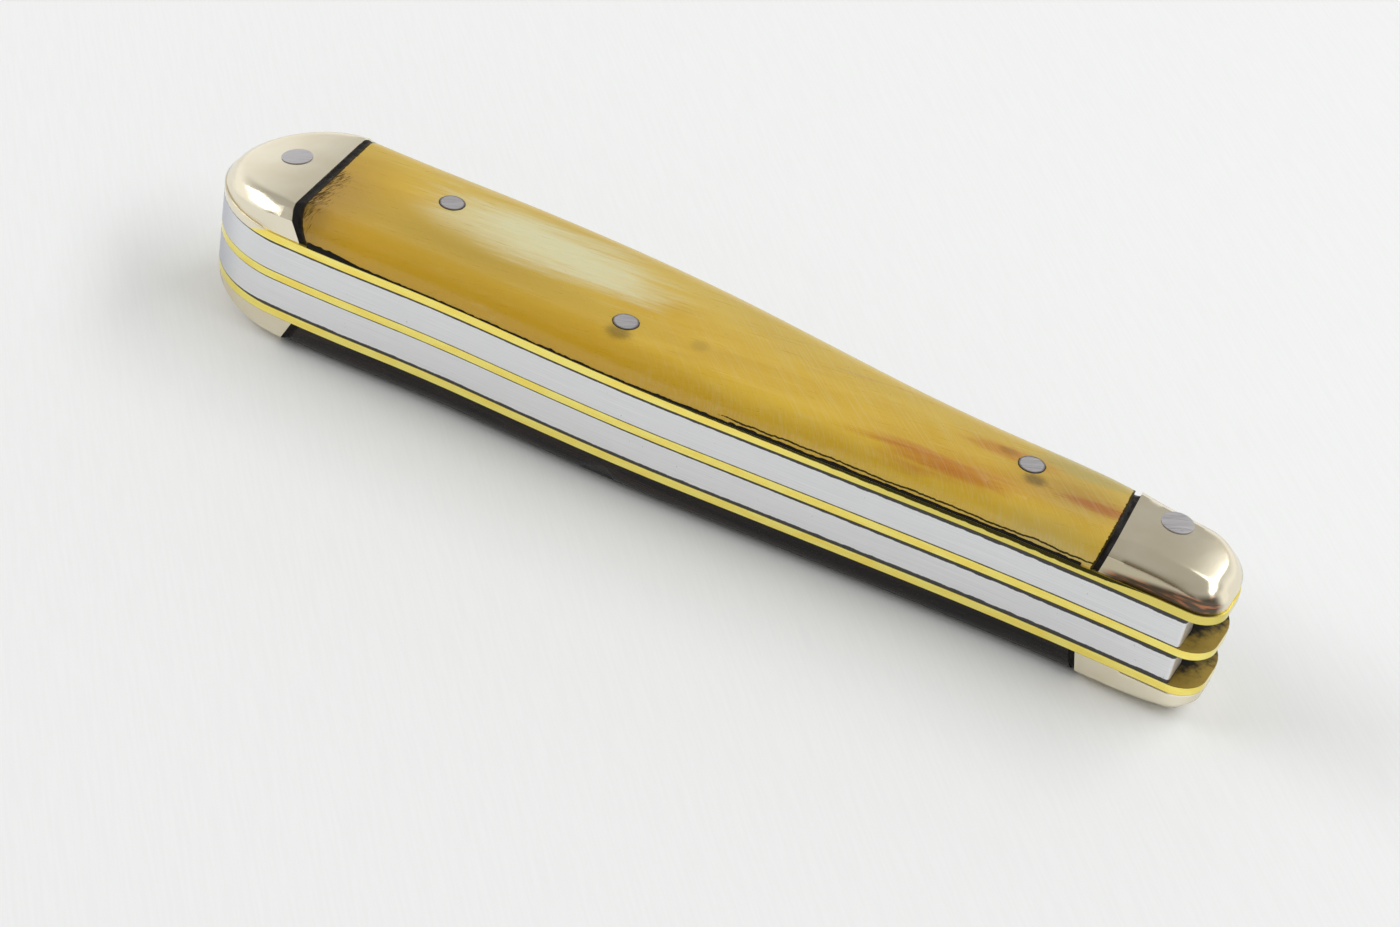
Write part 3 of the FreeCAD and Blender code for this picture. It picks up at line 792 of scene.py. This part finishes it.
def turned_alike(rim):
    """The rim from the back corner of its foot on, along the foot first. The foot lies on the liner."""
    same_level = 0.01
    middle_z = box_mm("centre_liner")[0].z
    foot_z = min((point.z for point in rim), key=lambda z: abs(z - middle_z))
    start = min(range(len(rim)), key=lambda index: (abs(rim[index].z - foot_z) > same_level, rim[index].y))
    rim = rim[start:] + rim[:start]
    if abs(rim[1].z - foot_z) > same_level:
        rim = rim[:1] + rim[:0:-1]
    return rim


def evenly(rim, count):
    """Points spread evenly along a closed rim."""
    ends = rim[1:] + rim[:1]
    lengths = [(end - start).length for start, end in zip(rim, ends)]
    total = sum(lengths)
    points = []
    index = 0
    passed = 0.0
    for number in range(count):
        target = total * number / count
        while passed + lengths[index] < target:
            passed += lengths[index]
            index += 1
        share = (target - passed) / lengths[index]
        points.append(rim[index].lerp(ends[index], share))
    return points


def resin_and_shade_in_gap(side, end, way, opening_drop, paint):
    """Black resin between a bolster and its scale, which also stands in for the shade in the gap: sunk,
    hollow, uneven, and lower at the opening edge.
    """
    bolster_rim = evenly(turned_alike(end_rim("%s_%s_bolster" % (side, end), way)), GAP_POINTS)
    scale_rim = evenly(turned_alike(end_rim(side + "_scale", -way)), GAP_POINTS)
    rings = []
    for share in GAP_SHARES:
        ring = [first.lerp(second, share) for first, second in zip(bolster_rim, scale_rim)]
        middle = sum(ring, Vector()) / GAP_POINTS
        for index, point in enumerate(ring):
            uneven = noise.noise(point * GAP_LUMPS_PER_MM + Vector((share * 3, 0, 0)))
            depth = GAP_SUNK + GAP_HOLLOW * math.sin(math.pi * share) + GAP_UNEVEN * uneven
            depth += opening_drop * ramp(point.y, start=2.0, length=4.0)
            ring[index] = point + (middle - point).normalized() * depth
        rings.append(ring)
    solid("%s_%s_gap_resin_and_shade" % (side, end), rings, paint)


def wall_y(node, x, z):
    """Y of a piece's back wall, met from outside."""
    start = Vector((x, BEHIND_BACK, z)) * MM
    met, place, _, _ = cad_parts[node].ray_cast(start, Vector((0, 1, 0)))
    if not met:
        raise ValueError("%s has no wall at x %.2f, z %.2f" % (node, x, z))
    return place.y / MM


def bead_height(x):
    """Height of the resin bead: tall at its butt end, a little taller along its joint half, and uneven."""
    coarse = noise.noise(Vector((x * BEAD_COARSE_PER_MM, 4.0, 0)))
    fine = noise.noise(Vector((x * BEAD_FINE_PER_MM, 9.0, 0)))
    from_butt = (x - BEAD_START_X) / BEAD_BUTT_LENGTH
    height = BEAD_HEIGHT + BEAD_BUTT_HEIGHT * math.exp(-from_butt ** 2)
    height += BEAD_JOINT_HEIGHT * ramp(x, start=-6.0, length=10.0)
    return max(BEAD_LEAST_HEIGHT, height + BEAD_COARSE * coarse + BEAD_FINE * fine)


def resin_bead(name, paint):
    """Uneven line of black resin squeezed out on the ledge between the front liner and the scale."""
    ledge_z = box_mm("front_scale")[0].z
    off_ledge = 0.3
    inside_liner = 0.012
    into_scale = 0.02
    off_scale = 0.015
    round_off = 0.01
    rings = []
    for number in range(int((BEAD_END_X - BEAD_START_X) / BEAD_SPACING) + 1):
        x = BEAD_START_X + number * BEAD_SPACING
        outer = wall_y("front_liner", x, ledge_z - off_ledge) + inside_liner
        inner = wall_y("front_scale", x, ledge_z + off_ledge)
        height = bead_height(x)
        rings.append([
            Vector((x, inner + into_scale, ledge_z)),
            Vector((x, outer, ledge_z)),
            Vector((x, outer + round_off, ledge_z + 0.5 * height)),
            Vector((x, inner - off_scale, ledge_z + height)),
            Vector((x, inner + into_scale, ledge_z + height)),
        ])
    solid(name, rings, paint)


def plain_floor():
    """White floor with a faint rib."""
    half = FLOOR_HALF_WIDTH
    mesh = bpy.data.meshes.new("floor")
    corners = [(-half, -half, 0), (half, -half, 0), (half, half, 0), (-half, half, 0)]
    mesh.from_pydata(corners, [], [(0, 1, 2, 3)])
    floor = bpy.data.objects.new("floor", mesh)
    bpy.context.collection.objects.link(floor)
    paint = Paint("floor")
    ribs = paint.grain((7, 0.3, 1), turn=-49, detail=1)
    paint.set(Base_Color=paint.mottled(ribs, FLOOR_DARK, FLOOR_LIGHT, low=NOISE_LOW))
    paint.set(Roughness=0.95, Specular_IOR_Level=0.1, Normal=paint.bump(ribs, 0.06, 0.1))
    mesh.materials.append(paint.material)


def light_tent():
    """Pale tent all round, darker overhead, with a dim patch on the side of the knife's back."""
    world = bpy.data.worlds.new("light_tent")
    bpy.context.scene.world = world
    world.use_nodes = True
    nodes = Nodes(world.node_tree)
    direction = nodes.tree.nodes.new("ShaderNodeTexCoord").outputs["Generated"]
    rise = nodes.step(nodes.axis(direction, "Z"), *TENT_RISE)
    colour = nodes.mix(rise, TENT_LOW, TENT_HIGH)
    to_patch = nodes.vector("DOT_PRODUCT", direction, DIM_DIRECTION)
    colour = nodes.mix(nodes.step(to_patch, *DIM_BORDER), colour, TENT_DIM)
    nodes.link(colour, nodes.tree.nodes["Background"].inputs["Color"])


def softbox(name, direction, width, height, power):
    """Lamp with a bright rectangle, in metres and watts, that looks at the knife from a direction."""
    light = bpy.data.lights.new(name, "AREA")
    light.shape = "RECTANGLE"
    light.size = width
    light.size_y = height
    light.energy = power
    lamp = bpy.data.objects.new(name, light)
    lamp.location = Vector(direction).normalized() * LAMP_DISTANCE
    lamp.rotation_euler = (-lamp.location).to_track_quat("-Z", "Y").to_euler()
    bpy.context.collection.objects.link(lamp)


def camera():
    """Camera with the place, turn and lens given above."""
    lens = bpy.data.cameras.new("camera")
    lens.sensor_fit = "HORIZONTAL"
    lens.sensor_width = SENSOR_WIDTH
    lens.lens = FOCAL_LENGTH
    lens.clip_start = CLIP_START
    lens.clip_end = CLIP_END
    item = bpy.data.objects.new("camera", lens)
    back = CAMERA_RIGHT.cross(CAMERA_UP)
    turn = Matrix((CAMERA_RIGHT, CAMERA_UP, back)).transposed()
    item.matrix_world = Matrix.Translation(CAMERA_PLACE * MM) @ turn.to_4x4()
    bpy.context.collection.objects.link(item)
    bpy.context.scene.camera = item


# Finishes of the CAD pieces
paint_node(honey_horn(), "front_scale")
paint_node(dark_horn(), "rear_scale")
bolsters = ["%s_%s_bolster" % (side, end) for side in ("front", "rear") for end in ("butt", "joint")]
paint_node(nickel_silver(), *bolsters)
for liner in WELL_FACES:
    paint_node(brass(liner), liner)
for spring in ("clip_spring", "spey_spring"):
    paint_node(spring_steel(spring), spring)
paint_node(blade_steel(), "clip_blade", "spey_blade")
for pin in (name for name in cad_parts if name.endswith("_pin")):
    paint_node(pin_steel(pin), pin)

# Pieces of resin, those in the joints also standing in for the shade in the gaps
black = resin()
for side in ("front", "rear"):
    resin_and_shade_in_gap(side, "butt", way=1, opening_drop=0.1, paint=black)
    resin_and_shade_in_gap(side, "joint", way=-1, opening_drop=0.7, paint=black)
resin_bead("scale_edge_resin", black)

# Studio
plain_floor()
light_tent()
softbox("right_softbox", (0.54, 0.33, 0.72), width=1.10, height=0.24, power=3.4)
softbox("left_softbox", (-0.82, -0.20, 0.53), width=0.60, height=0.26, power=2.1)
camera()

bpy.context.scene.view_settings.view_transform = "Standard"
